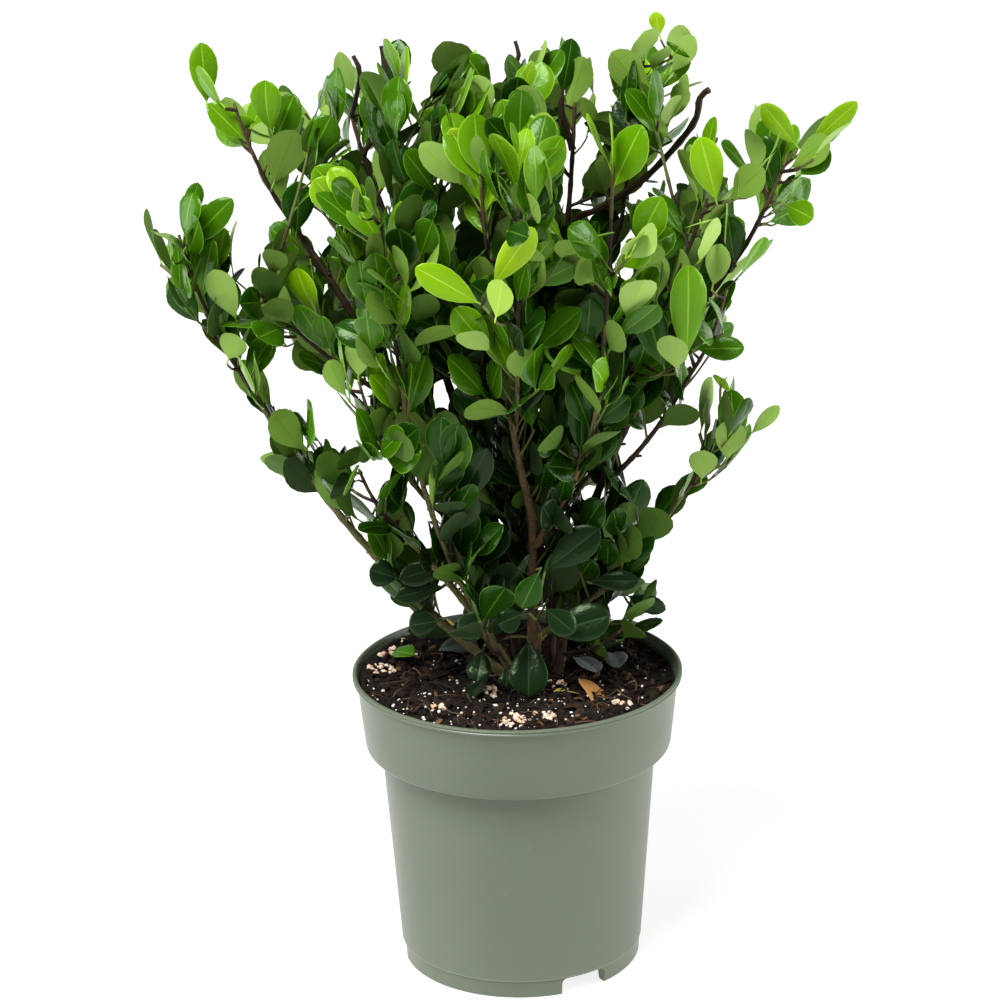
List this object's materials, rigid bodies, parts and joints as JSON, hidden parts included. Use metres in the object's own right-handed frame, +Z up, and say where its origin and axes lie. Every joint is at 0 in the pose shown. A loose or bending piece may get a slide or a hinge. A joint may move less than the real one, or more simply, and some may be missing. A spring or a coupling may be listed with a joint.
{
  "type": "japanese holly shrub in a nursery pot",
  "caption": "Japanese holly shrub, a vase of woody stems and small glossy evergreen leaves clipped flat on top, in a sage green plastic nursery pot of soil",
  "frame": {"origin": "centre of the pot's flat underside, on the surface that the pot stands on", "axes": "+Z up along the pot's axis, -Y towards the front of the picture, +X to the right as seen from the front"},
  "size_m": [0.3653, 0.2955, 0.4931],
  "materials": {
    "pot_plastic": "satin moulded sage green plastic",
    "soil": "moist dark potting soil with bark chips and white perlite",
    "bark": "thin tan to dark brown bark with nodes",
    "leaves": "glossy green leaves, paler beneath"
  },
  "bodies": {
    "root": {"pot": "pot_plastic", "soil": "soil", "stem_center": "bark", "stem_left_low": "bark", "stem_left_high": "bark", "stem_back_left": "bark", "stem_back": "bark", "stem_back_right": "bark", "stem_right": "bark", "stem_front_left": "bark", "bough_left_top": "bark", "bough_left_mid": "bark", "bough_left_near": "bark", "bough_front_left": "bark", "bough_center_left": "bark", "bough_center_right": "bark", "bough_right_low": "bark", "bough_right_mid": "bark", "bough_right_high": "bark", "bough_right_top": "bark", "bough_front": "bark", "bough_front_right": "bark", "bough_back_low": "bark", "bough_back_left_low": "bark", "bough_back_right_low": "bark", "foliage_left_low": "leaves", "foliage_left_high": "leaves", "foliage_back_left": "leaves", "foliage_back": "leaves", "foliage_back_right": "leaves", "foliage_right_arm": "leaves", "foliage_front_left_low": "leaves", "foliage_left_top": "leaves", "foliage_left_mid": "leaves", "foliage_left_near": "leaves", "foliage_front_left": "leaves", "foliage_center_left": "leaves", "foliage_center_right": "leaves", "foliage_right_low": "leaves", "foliage_right_mid": "leaves", "foliage_right_high": "leaves", "foliage_right_top": "leaves", "foliage_front": "leaves", "foliage_front_right": "leaves", "foliage_back_low": "leaves", "foliage_back_left_low": "leaves", "foliage_back_right_low": "leaves", "foliage_core_low": "leaves", "foliage_core_left": "leaves", "foliage_core_right": "leaves", "foliage_core_top": "leaves", "foliage_front_left_high": "leaves", "foliage_left_arm": "leaves", "foliage_foot_front": "leaves", "foliage_foot_left": "leaves", "foliage_foot_right": "leaves", "foliage_foot_back": "leaves", "foliage_foot_far_left": "leaves", "foliage_right_back": "leaves", "foliage_right_base": "leaves"}
  },
  "joints": []
}
